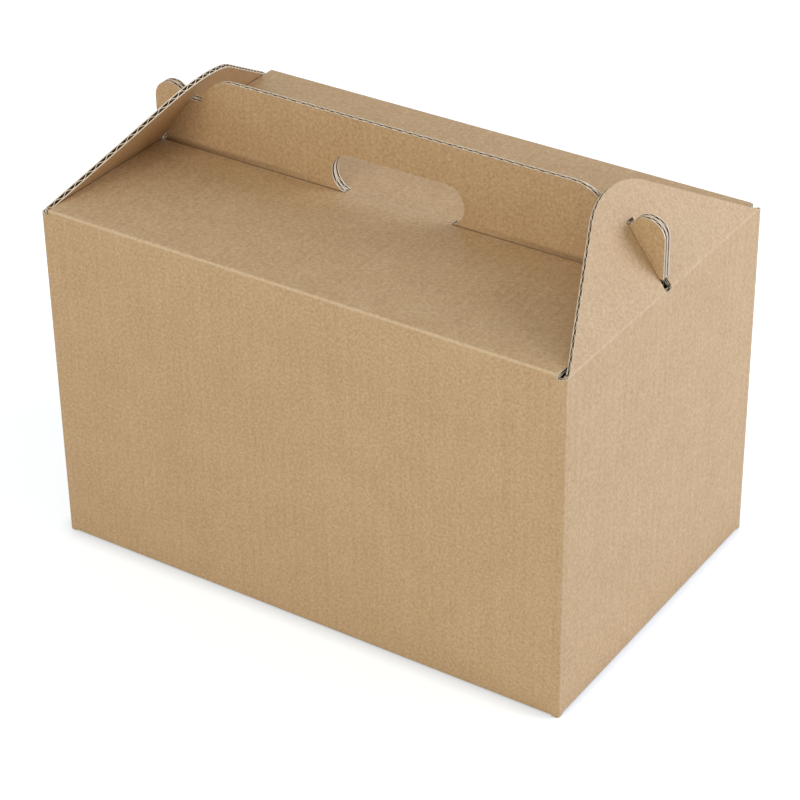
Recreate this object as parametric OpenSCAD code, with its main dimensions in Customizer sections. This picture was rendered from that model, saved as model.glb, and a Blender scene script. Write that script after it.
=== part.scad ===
// Carry carton for takeaway food, cut and folded from one sheet of corrugated board.
// The body is a glued tube with a folded base. The front and rear walls each turn in as half
// of the roof and then up as one board of the handle, so the handle is two boards thick.
// A pointed flap at each end leans in over the roof, and the ears of the handle pass out
// through a slot in it. X runs along the length, Y from front to rear, Z up from the table.

/* [Carton] */
// Outside length from end wall to end wall
carton_l = 330; // [270:1:420]
// Outside depth from front wall to rear wall
carton_w = 210; // [170:1:280]
// Height of the roof's upper face above the table
carton_h = 212; // [140:1:320]

/* [Board] */
// Thickness of the corrugated board
board_t = 2.8; // [1.6:0.1:3.2]
// Radius left inside each fold
fold_inner_r = 0.5; // [0.2:0.1:1.5]
// Radius of each fold's convex face, where the scored board turns sharply
fold_outer_r = 1.5; // [0.5:0.1:1.6]
// Free play between pieces that move past each other
play = 0.35; // [0.3:0.05:0.6]

/* [Handle] */
// Height of the handle above the roof
handle_h = 46.8; // [44:0.2:70]
// Height by which the rear board's upper edge stays below the front one's
rear_drop = 2; // [0:0.5:3]
// Distance of each rounded shoulder's centre from the end wall's outer face
shoulder_in = 57; // [52:1:70]
// Radius of the handle's shoulders
shoulder_r = 24; // [14:1:28]
// Width of the hand hole
hole_w = 85.5; // [70:0.5:110]
// Height of the hand hole above the roof
hole_h = 23.4; // [18:0.2:30]
// Depth below the roof's upper face that the hole's round ends would reach
hole_sink = 0.6; // [0.3:0.1:2]

/* [Ears] */
// Radius of the ear's rounded head
ear_r = 10.5; // [7:0.5:13]
// Distance from the end wall's outer face in to the ear's upright edge
ear_edge_in = 2.2; // [0.5:0.1:4]
// Height of the ear's lower edge above the roof
ear_foot_h = 4.5; // [3:0.5:10]

/* [End flaps] */
// Height of the flap, measured along the board from its crease
flap_h = 61; // [56:0.2:80]
// Radius of the flap's rounded point
flap_tip_r = 48; // [25:0.5:54]
// Angle by which the closed flap leans in from upright, in degrees
flap_lean = 36; // [30:0.5:40]
// Distance of the flap's foot from the corner of the carton
flap_foot_in = 2; // [1.5:0.5:5]
// Distance from the corner at which the flap's straight side would meet the crease
flap_side_in = 3.2; // [2.5:0.1:12]
// Length up the straight side over which the foot widens to the corner
flap_foot_l = 5; // [3:0.5:12]
// Length of the slot, measured along the board from the crease
slot_l = 41.8; // [38:0.2:50]
// Depth of the flap's crease below the roof's upper face
crease_drop = 1.6; // [0.5:0.1:2.5]

/* [Base and seam] */
// Gap between the two long base flaps
base_gap = 1; // [0.5:0.1:4]
// Length of the end walls' base flaps
end_base_l = 95; // [60:1:120]
// Length over which the end walls' base flaps rise onto the long ones
base_ramp_l = 6; // [4:0.5:12]
// Distance that the base flaps stop short of the corner folds
base_side_in = 1; // [0.5:0.5:4]
// Width of the glue flap that closes the tube
glue_flap_w = 32; // [20:1:45]
// Distance from the end wall to the rear wall's cut edge at the seam
seam_in = 2; // [1.5:0.1:3]
// Gap between the two boards of the handle
handle_gap = 0.3; // [0.2:0.1:0.6]

/* [Hidden] */

// Colour of plain kraft board
kraft = [0.74, 0.6, 0.44];
// Fineness of round shapes, and the extra depth by which a cut passes a face
$fn = 48;
cut = 1;
// Length by which a fold's drawing runs on into the flat board that it joins
lap = 1;

// Folds
fold_r = board_t + fold_inner_r;
half_l = carton_l / 2;
half_w = carton_w / 2;
roof_under_z = carton_h - board_t;

// Creases of the end flaps
hinge_x = half_l;
hinge_z = carton_h - crease_drop;
crease_gap = play / 2;
mitre = tan(flap_lean / 2);

// The roof ends where the closed flap's inner face comes down past it
roof_half_l = hinge_x - (board_t + play) / cos(flap_lean) - crease_drop * tan(flap_lean);

// Handle boards
handle_half_l = roof_half_l - fold_r;
handle_foot_z = roof_under_z + fold_r;
handle_top_z = carton_h + handle_h;
shoulder_x = half_l - shoulder_in;
hole_r = (hole_h + hole_sink) / 2;
hole_z = carton_h + hole_h - hole_r;
hole_end_x = hole_w / 2 - hole_r;

// Half the length over which the hand hole is open down to the roof
lip_half_l = hole_end_x + sqrt(pow(hole_r, 2) - pow(hole_z - carton_h, 2));

// The ear's head lies within the circle that the slot's upper end draws round the crease
ear_x = half_l - ear_edge_in - ear_r;
ear_reach = slot_l - play - ear_r;
ear_z = hinge_z + sqrt(pow(ear_reach, 2) - pow(hinge_x - ear_x, 2));
ear_foot_z = carton_h + ear_foot_h;

// The notch between shoulder and ear seats the upper end of the slot
notch_z = hinge_z + slot_l * cos(flap_lean) - board_t * sin(flap_lean) - play;

// End flaps
flap_half_w = half_w - flap_foot_in;
side_foot_y = half_w - flap_side_in;
slot_w = 2 * board_t + handle_gap + 2 * play;
tip_z = flap_h - flap_tip_r;
tip_dist = sqrt(pow(side_foot_y, 2) + pow(tip_z, 2));
side_angle = asin(flap_tip_r / tip_dist) + atan(tip_z / side_foot_y);
side_l = sqrt(pow(tip_dist, 2) - pow(flap_tip_r, 2));

// Base
base_fold_half_l = half_l - fold_r - base_side_in;
base_half_l = half_l - fold_r - base_ramp_l;
end_base_half_w = half_w - fold_r - base_side_in;
base_end_x = half_l - fold_r - end_base_l;

// Quarter of a fold, from the direction +X round to +Y, about its concave face's centre
module fold_section() {
    corner = fold_r - fold_outer_r;
    difference() {
        union() {
            square([fold_r, corner]);
            square([corner, fold_r]);
            translate([corner, corner]) circle(r = fold_outer_r);
        }
        circle(r = fold_inner_r);
    }
}

// Sections along Y and Z of the front half: base fold, base flap, roof half and handle fold
module base_fold_section() {
    translate([-half_w + fold_r, fold_r]) rotate(180) fold_section();
}

module base_flap_section() {
    translate([-half_w + fold_r, 0]) square([half_w - fold_r - base_gap / 2, board_t]);
}

module front_roof_section() {
    fold_y = -handle_gap / 2 - fold_r;
    translate([-half_w, carton_h - fold_r - lap]) square([board_t, lap]);
    translate([-half_w + fold_r, carton_h - fold_r]) rotate(90) fold_section();
    translate([-half_w + fold_r, roof_under_z]) square([fold_y + half_w - fold_r, board_t]);
}

module handle_fold_section() {
    translate([-handle_gap / 2 - fold_r, handle_foot_z]) rotate(-90) fold_section();
    translate([-handle_gap / 2 - board_t, handle_foot_z]) square([board_t, lap]);
}

// Roof's edge in the hand hole, where the board isn't folded and stays flat
module lip_section() {
    translate([-handle_gap / 2 - fold_r, roof_under_z]) square([fold_r, board_t]);
}

// A section drawn along Y and Z, run along X to both sides of the middle
module run_along_x(half_run) {
    translate([-half_run, 0, 0]) rotate([90, 0, 90]) linear_extrude(2 * half_run) children();
}

// Plan of the tube, with the glue flap folded inside the rear wall at the left
module tube_plan() {
    wall_l = carton_l - 2 * fold_r;
    wall_w = carton_w - 2 * fold_r;
    translate([-half_l + fold_r, -half_w]) square([wall_l, board_t]);
    translate([half_l - board_t, -half_w + fold_r]) square([board_t, wall_w]);
    translate([-half_l + seam_in, half_w - board_t]) square([carton_l - fold_r - seam_in, board_t]);
    translate([-half_l, -half_w + fold_r]) square([board_t, wall_w - board_t]);
    translate([-half_l + fold_r, half_w - 2 * board_t]) square([glue_flap_w, board_t]);
    translate([-half_l + fold_r, -half_w + fold_r]) rotate(180) fold_section();
    translate([half_l - fold_r, -half_w + fold_r]) rotate(-90) fold_section();
    translate([half_l - fold_r, half_w - fold_r]) fold_section();
    translate([-half_l + fold_r, half_w - board_t - fold_r]) rotate(90) fold_section();
}

// Block over one end wall whose lower face is the mitre under the flap's crease
module crease_mitre_cut() {
    foot = hinge_z - crease_gap;
    rotate([90, 0, 0])
        linear_extrude(carton_w + 2 * cut, center = true)
            polygon([
                [hinge_x + cut, foot + cut * mitre],
                [hinge_x - fold_r - cut, foot - (fold_r + cut) * mitre],
                [hinge_x - fold_r - cut, carton_h],
                [hinge_x + cut, carton_h]
            ]);
}

// Walls up to the roof's folds, and the end walls and corners on up to the flaps' creases
module tube() {
    linear_extrude(carton_h - fold_r) tube_plan();
    difference() {
        linear_extrude(hinge_z - crease_gap) tube_plan();
        translate([-roof_half_l - play, -carton_w, 0])
            cube([2 * (roof_half_l + play), 2 * carton_w, carton_h]);
    }
}

// Space cleared under the walls for the base folds
module base_fold_cuts() {
    translate([-base_fold_half_l, -carton_w, -cut])
        cube([2 * base_fold_half_l, 2 * carton_w, fold_r + cut]);
    translate([-carton_l, -end_base_half_w, -cut])
        cube([2 * carton_l, 2 * end_base_half_w, fold_r + cut]);
}

// Right end wall's base flap: its fold, the rise onto the long flaps, and the flat length
module end_base_section() {
    fold_x = half_l - fold_r;
    translate([fold_x, fold_r]) rotate(-90) fold_section();
    polygon([
        [fold_x, 0],
        [fold_x, board_t],
        [fold_x - base_ramp_l, 2 * board_t],
        [base_end_x, 2 * board_t],
        [base_end_x, board_t],
        [fold_x - base_ramp_l, board_t]
    ]);
}

module end_base_flap() {
    translate([0, end_base_half_w, 0])
        rotate([90, 0, 0]) linear_extrude(2 * end_base_half_w) end_base_section();
}

// One half of the handle's outline along X and Z, without the hand hole
module handle_half_outline(top_z) {
    translate([0, handle_foot_z]) square([handle_half_l, notch_z - handle_foot_z]);
    translate([0, handle_foot_z]) square([shoulder_x, top_z - handle_foot_z]);
    translate([shoulder_x, top_z - shoulder_r]) circle(r = shoulder_r);
    translate([ear_x - ear_r, ear_foot_z]) square([2 * ear_r, ear_z - ear_foot_z]);
    translate([ear_x, ear_z]) circle(r = ear_r);
}

module handle_board(top_z) {
    rotate([90, 0, 0])
        linear_extrude(board_t) {
            handle_half_outline(top_z);
            mirror([1, 0]) handle_half_outline(top_z);
        }
}

// Outline of the hand hole along X and Z, cut off straight at the roof's upper face
module hole_outline() {
    intersection() {
        union() {
            for (side = [-1, 1])
                translate([side * hole_end_x, hole_z]) circle(r = hole_r);
            translate([-hole_end_x, hole_z - hole_r]) square([2 * hole_end_x, 2 * hole_r]);
        }
        translate([-hole_w / 2 - cut, carton_h]) square([hole_w + 2 * cut, hole_h + cut]);
    }
}

// Fold and handle board of the front wall, with the hand hole cut through both
module front_handle(top_z) {
    difference() {
        union() {
            run_along_x(handle_half_l) handle_fold_section();
            translate([0, -handle_gap / 2, 0]) handle_board(top_z);
        }
        rotate([90, 0, 0]) linear_extrude(handle_gap / 2 + fold_r + cut) hole_outline();
    }
}

// Base flap, roof half and handle that belong to the front wall
module front_half(top_z) {
    run_along_x(base_fold_half_l) base_fold_section();
    run_along_x(base_half_l) base_flap_section();
    run_along_x(roof_half_l) front_roof_section();
    run_along_x(lip_half_l) lip_section();
    front_handle(top_z);
}

module carton() {
    color(kraft) union() {
        difference() {
            tube();
            crease_mitre_cut();
            mirror([1, 0, 0]) crease_mitre_cut();
            base_fold_cuts();
        }
        front_half(handle_top_z);
        mirror([0, 1, 0]) front_half(handle_top_z - rear_drop);
        end_base_flap();
        mirror([1, 0, 0]) end_base_flap();
    }
}

// Point on the flap's straight side, at a length up from where it would meet the crease
function side_point(length) = [side_foot_y - length * cos(side_angle), length * sin(side_angle)];

// Outline of an end flap across Y and up from its crease
module flap_outline() {
    right_side = [[flap_half_w, 0], side_point(flap_foot_l), side_point(side_l)];
    left_side = [for (i = [2, 1, 0]) [-right_side[i][0], right_side[i][1]]];
    intersection() {
        union() {
            polygon(concat(right_side, [[0, tip_z]], left_side));
            translate([0, tip_z]) circle(r = flap_tip_r, $fn = 96);
        }
        translate([-carton_w, 0]) square([2 * carton_w, flap_h]);
    }
}

// Right flap standing upright on its crease at the origin, with a mitred foot
module upright_flap() {
    difference() {
        translate([-board_t, 0, 0]) rotate([90, 0, 90]) linear_extrude(board_t) flap_outline();
        translate([-board_t - cut, -slot_w / 2, -cut]) cube([board_t + 2 * cut, slot_w, slot_l + cut]);
        rotate([90, 0, 0])
            linear_extrude(carton_w, center = true)
                polygon([
                    [cut, -cut],
                    [cut, crease_gap - cut * mitre],
                    [-board_t - cut, crease_gap + (board_t + cut) * mitre],
                    [-board_t - cut, -cut]
                ]);
    }
}

module end_flap_right() {
    color(kraft) translate([hinge_x, 0, hinge_z]) rotate([0, -flap_lean, 0]) upright_flap();
}

module end_flap_left() {
    mirror([1, 0, 0]) end_flap_right();
}

carton();
end_flap_left();
end_flap_right();
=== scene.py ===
"""Looks of a kraft takeaway carton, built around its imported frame.

The carton is one folded sheet of single-wall corrugated board. Its papers are modelled one by
one: an outer liner, a fluted medium and an inner liner, so that every cut edge is open as on a
real board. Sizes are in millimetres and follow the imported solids. Meshes are made in metres.
"""

import logging
import math
from collections import Counter
from collections.abc import Callable, Iterable, Sequence
from dataclasses import dataclass, field
from enum import Enum
from functools import partial

import bmesh
import bpy
from mathutils import Matrix, Vector
from mathutils.geometry import tessellate_polygon

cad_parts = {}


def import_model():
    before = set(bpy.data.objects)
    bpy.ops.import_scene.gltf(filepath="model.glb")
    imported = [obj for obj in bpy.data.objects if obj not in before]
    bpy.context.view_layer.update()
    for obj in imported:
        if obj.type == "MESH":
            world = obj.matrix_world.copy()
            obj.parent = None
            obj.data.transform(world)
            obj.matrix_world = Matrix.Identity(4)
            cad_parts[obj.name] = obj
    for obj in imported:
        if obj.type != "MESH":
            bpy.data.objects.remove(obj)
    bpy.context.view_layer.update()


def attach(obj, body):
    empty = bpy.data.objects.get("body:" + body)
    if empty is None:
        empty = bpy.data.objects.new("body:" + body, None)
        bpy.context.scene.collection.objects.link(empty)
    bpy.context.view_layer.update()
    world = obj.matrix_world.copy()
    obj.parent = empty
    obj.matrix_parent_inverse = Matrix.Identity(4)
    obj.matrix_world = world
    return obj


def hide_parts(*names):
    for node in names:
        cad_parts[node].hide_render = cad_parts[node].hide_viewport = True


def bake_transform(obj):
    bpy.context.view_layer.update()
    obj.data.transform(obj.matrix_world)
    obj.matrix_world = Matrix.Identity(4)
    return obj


MM = 0.001
MERGE = 0.002
NOISE_RANGE = (0.3, 0.7)
LOG = logging.getLogger("carton")

Pair = tuple[float, float]
Colour = tuple[float, float, float]


def linear(red: float, green: float, blue: float) -> Colour:
    """Turn a colour as seen on screen into the linear colour that shaders take.

    Args:
        red: Red from 0 to 255.
        green: Green from 0 to 255.
        blue: Blue from 0 to 255.

    Returns:
        The linear colour, each part from 0 to 1.
    """
    shares = (red / 255, green / 255, blue / 255)
    return tuple(c / 12.92 if c <= 0.04045 else ((c + 0.055) / 1.055) ** 2.4 for c in shares)


def around(centre: Pair, radius: float, start: float, end: float, step: float) -> list[Pair]:
    """List the points of an arc, both ends included.

    Args:
        centre: Centre of the arc.
        radius: Radius of the arc.
        start: Angle of the first point, in degrees.
        end: Angle of the last point, in degrees.
        step: Largest angle between two points, in degrees.

    Returns:
        The points from start to end.
    """
    count = max(1, math.ceil(abs(end - start) / step))
    angles = [math.radians(start + (end - start) * i / count) for i in range(count + 1)]
    return [(centre[0] + radius * math.cos(a), centre[1] + radius * math.sin(a)) for a in angles]


class End(Enum):
    """The two ends of the carton, by the sign of X."""

    LEFT = -1
    RIGHT = 1

    @property
    def label(self) -> str:
        """Name of the end for the names of its pieces."""
        return self.name.lower()


class Half(Enum):
    """The front and rear halves of the carton, by the sign of Y."""

    FRONT = -1
    REAR = 1


@dataclass(frozen=True)
class FoldSpot:
    """One line through a quarter fold, measured from the centre of its concave face.

    The fold starts in the first direction and ends in the second. Both ways out point from the
    concave face to the convex one.
    """

    convex: Pair
    concave: Pair
    convex_out: Pair
    concave_out: Pair
    run: float

    @property
    def wear(self) -> float:
        """Painted highlight across the convex face, from 0 to 1, brightest at the fold's middle;
        partly paler stretched paper.
        """
        return 2 * self.convex_out[0] * self.convex_out[1]


@dataclass(frozen=True)
class Board:
    """Single-wall corrugated board and its papers, in millimetres."""

    thick: float = 2.8
    bend_in: float = 0.5
    bend_round: float = 1.5
    liner: float = 0.52
    paper: float = 0.34
    pitch: float = 6.28

    @property
    def bend_out(self) -> float:
        """Distance of a fold's convex face from the centre of its concave face."""
        return self.thick + self.bend_in

    @property
    def bend_flat(self) -> float:
        """Length of the flat on each side of a fold's rounded convex edge."""
        return self.bend_out - self.bend_round

    @property
    def bend_run(self) -> float:
        """Length of a fold's convex face."""
        return 2 * self.bend_flat + self.bend_round * math.pi / 2

    def fold(self, step: float = 9.0) -> list[FoldSpot]:
        """List the lines through a quarter fold.

        Args:
            step: Largest angle between two lines of the rounded edge, in degrees.

        Returns:
            The lines from the fold's start to its end.
        """
        flat, r = self.bend_flat, self.bend_round
        rounded = [(p, ((p[0] - flat) / r, (p[1] - flat) / r))
                   for p in around((flat, flat), r, 0, 90, step)]
        face = [((self.bend_out, 0.0), (1.0, 0.0)), *rounded, ((0.0, self.bend_out), (0.0, 1.0))]
        spots: list[FoldSpot] = []
        run, last = 0.0, face[0][0]
        for place, out in face:
            run += math.dist(last, place)
            last = place
            way = (place[0] / math.hypot(*place), place[1] / math.hypot(*place))
            concave = (way[0] * self.bend_in, way[1] * self.bend_in)
            spots.append(FoldSpot(place, concave, out, way, run))
        return spots

    @property
    def wave(self) -> float:
        """Height of the medium's wave between the middles of its crests."""
        return self.thick - 2 * self.liner - self.paper


class Paper(Enum):
    """The liners of the board."""

    OUTER = "outer_liner"
    INNER = "inner_liner"

    def depths(self, board: Board) -> Pair:
        """Depths of the paper's two faces under the board's outer face.

        Args:
            board: The board that the paper belongs to.

        Returns:
            The depth where the paper starts and the depth where it ends.
        """
        if self is Paper.OUTER:
            return 0.0, board.liner
        return board.thick - board.liner, board.thick


@dataclass(frozen=True)
class CartonSizes:
    """Sizes of the folded carton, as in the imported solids, in millimetres."""

    board: Board = field(default_factory=Board)
    length: float = 330.0
    width: float = 210.0
    height: float = 212.0
    play: float = 0.35
    crease_drop: float = 1.6
    lean: float = 36.0
    base_gap: float = 1.0
    base_side_in: float = 1.0
    base_ramp: float = 6.0
    end_base: float = 95.0
    glue_flap: float = 32.0
    seam_in: float = 2.0
    handle_gap: float = 0.3
    handle_height: float = 46.8
    rear_drop: float = 2.0
    crease_strip: float = 1.3

    @property
    def half_l(self) -> float:
        """Half the length."""
        return self.length / 2

    @property
    def half_w(self) -> float:
        """Half the width."""
        return self.width / 2

    @property
    def fold_x(self) -> float:
        """Where the front and rear walls start to turn into the end walls."""
        return self.half_l - self.board.bend_out

    @property
    def fold_y(self) -> float:
        """Where the end walls start to turn into the front and rear walls."""
        return self.half_w - self.board.bend_out

    @property
    def seam_y(self) -> float:
        """Where the left wall starts to turn into the glue flap."""
        return self.fold_y - self.board.thick

    @property
    def wall_top(self) -> float:
        """Where the front and rear walls start to turn into the roof."""
        return self.height - self.board.bend_out

    @property
    def hinge_z(self) -> float:
        """Height of the end flaps' creases."""
        return self.height - self.crease_drop

    @property
    def end_top(self) -> float:
        """Top of the end walls, under the strips of the creases."""
        return self.hinge_z - self.crease_strip

    @property
    def roof_half(self) -> float:
        """Half the length of the roof."""
        lean = math.radians(self.lean)
        inset = (self.board.thick + self.play) / math.cos(lean) + self.crease_drop * math.tan(lean)
        return self.half_l - inset

    @property
    def handle_half(self) -> float:
        """Half the length of the handle boards at their foot."""
        return self.roof_half - self.board.bend_out

    @property
    def handle_foot(self) -> float:
        """Height at which the handle boards leave their fold."""
        return self.height + self.board.bend_in

    @property
    def base_fold_half(self) -> float:
        """Half the length of the fold under the front and rear walls."""
        return self.fold_x - self.base_side_in

    @property
    def base_half(self) -> float:
        """Half the length of the long base flaps."""
        return self.fold_x - self.base_ramp

    def corner_top(self, x: float) -> float:
        """Height of a corner's top, which slants in under the flap's foot.

        Args:
            x: Distance from the middle of the carton.

        Returns:
            The height above the table.
        """
        slant = math.tan(math.radians(self.lean / 2))
        return self.hinge_z - self.play / 2 - (self.half_l - abs(x)) * slant


@dataclass(frozen=True)
class Station:
    """One line across a section: its place, the way through the board, and its run.

    The ways in are unit directions at the outer and inner faces, where they differ from inward.
    """

    place: Pair
    inward: Pair
    run: float
    # Painted light on folds: a highlight up to 1 on convex folds, partly paler stretched paper, and
    # -1 for painted shade in valley creases.
    wear: float = 0.0
    ways: tuple[Pair, Pair] | None = None

    @classmethod
    def folded(cls, spot: FoldSpot, board: Board, centre: Pair, axes: tuple[Pair, Pair],
               run: float, convex: bool = True) -> "Station":
        """Place one line of a quarter fold.

        Args:
            spot: The line.
            board: The board that is folded.
            centre: Centre of the fold's concave face.
            axes: Directions from the centre to the fold's start and end.
            run: Length along the path, or across the blank.
            convex: True where the board's outer face is the fold's convex face.

        Returns:
            The station.
        """
        def turned(pair: Pair, scale: float = 1.0) -> Pair:
            """A pair of the fold's own directions as seen in the section."""
            return tuple((axes[0][k] * pair[0] + axes[1][k] * pair[1]) * scale for k in (0, 1))

        outer, inner = (spot.convex, spot.concave) if convex else (spot.concave, spot.convex)
        out = (spot.convex_out, spot.concave_out) if convex else (spot.concave_out, spot.convex_out)
        place = turned(outer)
        inward = turned((inner[0] - outer[0], inner[1] - outer[1]), 1 / board.thick)
        ways = tuple(turned(way, -1 if convex else 1) for way in out)
        # A valley fold gets -1, painted shade in its crease; a convex fold gets its painted
        # highlight.
        return cls((centre[0] + place[0], centre[1] + place[1]), inward, run,
                   spot.wear if convex else -1.0, ways)


class SectionPath:
    """Path of the board's outer face through its folds, drawn as a turtle walks."""

    def __init__(self, board: Board, start: Pair, heading: float) -> None:
        """Start a path.

        Args:
            board: The board that is folded.
            start: First point of the path.
            heading: Direction of travel in degrees. The board lies to the right of it.
        """
        self.board = board
        self.heading = heading
        self.stations = [Station(start, self._right(heading), 0.0)]

    @staticmethod
    def _right(heading: float) -> Pair:
        """Direction to the right of a heading."""
        angle = math.radians(heading - 90)
        return math.cos(angle), math.sin(angle)

    def line(self, length: float) -> None:
        """Go straight on.

        Args:
            length: How far to go.
        """
        last = self.stations[-1]
        angle = math.radians(self.heading)
        place = (last.place[0] + length * math.cos(angle), last.place[1] + length * math.sin(angle))
        self.stations.append(Station(place, self._right(self.heading), last.run + length))

    def bend(self, angle: float) -> None:
        """Turn on the spot, with the board mitred at the turn.

        Args:
            angle: Angle to the right, in degrees.
        """
        last = self.stations.pop()
        middle = self._right(self.heading - angle / 2)
        grow = 1 / math.cos(math.radians(angle / 2))
        self.stations.append(Station(last.place, (middle[0] * grow, middle[1] * grow), last.run))
        self.heading -= angle

    def fold(self, right: bool = True) -> None:
        """Turn through a quarter fold.

        Args:
            right: True to turn to the right, so that the outer face is the convex one.
        """
        last = self.stations[-1]
        side, ahead = self._right(self.heading), self._right(self.heading + 90)
        radius = self.board.bend_out if right else -self.board.bend_in
        centre = (last.place[0] + side[0] * radius, last.place[1] + side[1] * radius)
        start = (-side[0], -side[1]) if right else side
        self.stations += [
            Station.folded(spot, self.board, centre, (start, ahead), last.run + spot.run, right)
            for spot in self.board.fold()[1:]
        ]
        self.heading -= 90 if right else -90


class Sheet:
    """Folded board, given by its outer face, from which each paper is cut at its depth."""

    def __init__(self) -> None:
        """Start with no board."""
        self.places: list[Vector] = []
        self.inwards: list[Vector] = []
        self.ways: list[tuple[Vector, Vector]] = []
        self.blanks: list[Pair] = []
        self.wears: list[float] = []
        self.faces: list[tuple[int, ...]] = []
        self.folds: list[bool] = []
        self._known: dict[tuple[int, int, int], int] = {}

    def point(self, place: Vector, inward: Vector, blank: Pair, wear: float = 0.0,
              ways: tuple[Vector, Vector] | None = None) -> int:
        """Add a point of the outer face, or find the one that is there.

        Args:
            place: The point.
            inward: The way through the board, of length one where the board isn't mitred.
            blank: The point's place on the flat blank, across and along the flutes.
            wear: Painted light there: a highlight on a convex fold, partly paler stretched paper,
                up to 1, or painted shade in a valley crease, down to -1.
            ways: Unit directions in at the outer and inner faces, if they differ from inward.

        Returns:
            The point's number.
        """
        key = tuple(round(c / MERGE) for c in place)
        if key not in self._known:
            self._known[key] = len(self.places)
            self.places.append(place.copy())
            self.inwards.append(inward.copy())
            self.ways.append(ways or (inward.normalized(), inward.normalized()))
            self.blanks.append(blank)
            self.wears.append(wear)
        return self._known[key]

    def face(self, corners: Sequence[int], fold: bool = False) -> None:
        """Add a face, turned so that it looks away from the board.

        Args:
            corners: The face's points in order.
            fold: True for a face of a rounded fold.
        """
        loop = list(dict.fromkeys(corners))
        normal, middle = Vector(), Vector()
        for a, b in zip(loop, loop[1:] + loop[:1]):
            normal += self.places[a].cross(self.places[b])
            middle += self.inwards[a]
        if normal.dot(middle) > 0:
            loop.reverse()
        self.faces.append(tuple(loop))
        self.folds.append(fold)

    def mesh(self, depths: Pair, folds_only: bool = False) -> bpy.types.Mesh:
        """Cut one paper out of the board.

        Args:
            depths: Depths of the paper's two faces under the outer face.
            folds_only: True to keep only the rounded folds.

        Returns:
            A closed mesh whose second material slot is the cut edge.
        """
        chosen = [f for f, fold in zip(self.faces, self.folds) if fold or not folds_only]
        used = sorted({i for f in chosen for i in f})
        top = {old: new for new, old in enumerate(used)}
        count = len(used)
        verts = [(self.places[i] + self.inwards[i] * d) * MM for d in depths for i in used]
        edges = Counter((a, b) for f in chosen for a, b in zip(f, f[1:] + f[:1]))
        faces = [tuple(top[i] for i in f) for f in chosen]
        faces += [tuple(count + top[i] for i in reversed(f)) for f in chosen]
        rims = [(a, b) for a, b in edges if (b, a) not in edges]
        faces += [(top[a], count + top[a], count + top[b], top[b]) for a, b in rims]
        mesh = bpy.data.meshes.new("paper")
        mesh.from_pydata(verts, [], faces)
        for polygon in mesh.polygons[2 * len(chosen):]:
            polygon.material_index = 1
        blank = mesh.uv_layers.new(name="blank")
        # This attribute paints light into the kraft colour: highlights on convex folds, shade in
        # valley creases.
        wear = mesh.attributes.new("wear", "FLOAT", "POINT")
        for number, vertex in enumerate(used + used):
            wear.data[number].value = self.wears[vertex]
        for loop in mesh.loops:
            vertex = used[loop.vertex_index % count]
            blank.data[loop.index].uv = [c * MM for c in self.blanks[vertex]]
        self._shade(mesh, used, len(chosen))
        return mesh

    def _shade(self, mesh: bpy.types.Mesh, used: Sequence[int], count: int) -> None:
        """Give flats and folds the normals of the true surface, so that both shade evenly.

        Args:
            mesh: The paper's mesh.
            used: The sheet's point behind each vertex of one side.
            count: Number of faces on one side.
        """
        mesh.shade_smooth()
        normals: list[Vector] = [Vector()] * len(mesh.loops)
        for polygon in mesh.polygons:
            for index in polygon.loop_indices:
                if polygon.index >= 2 * count:
                    normals[index] = polygon.normal.copy()
                    continue
                outer, inner = self.ways[used[mesh.loops[index].vertex_index % len(used)]]
                normals[index] = -outer if polygon.index < count else inner
        mesh.normals_split_custom_set(normals)


@dataclass(frozen=True)
class Panel:
    """A flat run of board whose medium is made from one wavy sheet.

    The origin is on the board's outer face. Across, along and inward are unit directions.
    """

    origin: Vector
    across: Vector
    along: Vector
    inward: Vector
    loop: Sequence[Pair]

    def matrix(self, depth: float) -> Matrix:
        """Place of the panel's plane at a depth.

        Args:
            depth: Depth under the outer face, in millimetres.

        Returns:
            The matrix from the panel's plane to the row frame, in metres.
        """
        place = (self.origin + self.inward * depth) * MM
        matrix = Matrix((self.across, self.along, self.inward)).transposed().to_4x4()
        return Matrix.Translation(place) @ matrix


def rectangle(low: Pair, high: Pair) -> list[Pair]:
    """List the corners of a rectangle from its lowest and highest ones."""
    return [(low[0], low[1]), (high[0], low[1]), (high[0], high[1]), (low[0], high[1])]


def fill(loop: Sequence[Pair]) -> list[tuple[int, ...]]:
    """Fill an outline with triangles, given as numbers of its points."""
    return [tuple(t) for t in tessellate_polygon([[Vector((*p, 0)) for p in loop]])]


class NodeGraph:
    """Short calls for wiring up a node tree."""

    def __init__(self, tree: bpy.types.NodeTree) -> None:
        """Take the tree."""
        self.tree = tree

    def add(self, kind: str, options: dict[str, object] | None = None,
            **values: object) -> bpy.types.Node:
        """Add a node.

        Args:
            kind: The node's type, from which a ShaderNode start may be left out.
            options: Properties of the node.
            values: Inputs by name, with _ for a space, as a value or as a socket to link.

        Returns:
            The node.
        """
        node = self.tree.nodes.new(kind if "Node" in kind else "ShaderNode" + kind)
        for name, value in (options or {}).items():
            setattr(node, name, value)
        for name, value in values.items():
            self.put(node.inputs[name.replace("_", " ")], value)
        return node

    def put(self, socket: bpy.types.NodeSocket, value: object) -> None:
        """Fill an input.

        Args:
            socket: The input.
            value: The output to link it to, or its value.
        """
        if isinstance(value, bpy.types.NodeSocket):
            self.tree.links.new(value, socket)
        else:
            socket.default_value = value

    def math(self, operation: str, *values: object) -> bpy.types.NodeSocket:
        """Combine numbers.

        Args:
            operation: Blender's name of the operation.
            values: Numbers or sockets.

        Returns:
            The result's socket.
        """
        node = self.add("Math", {"operation": operation})
        for socket, value in zip(node.inputs, values):
            self.put(socket, value)
        return node.outputs[0]

    def seen(self) -> bpy.types.NodeSocket:
        """Tell the rays of the picture from those that only carry light.

        Returns:
            A socket that is 1 for camera, glossy and transmission rays, and otherwise 0.
        """
        path = self.add("LightPath").outputs
        rays = self.math("ADD", path["Is Camera Ray"], path["Is Glossy Ray"])
        return self.math("MINIMUM", self.math("ADD", rays, path["Is Transmission Ray"]), 1.0)


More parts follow.
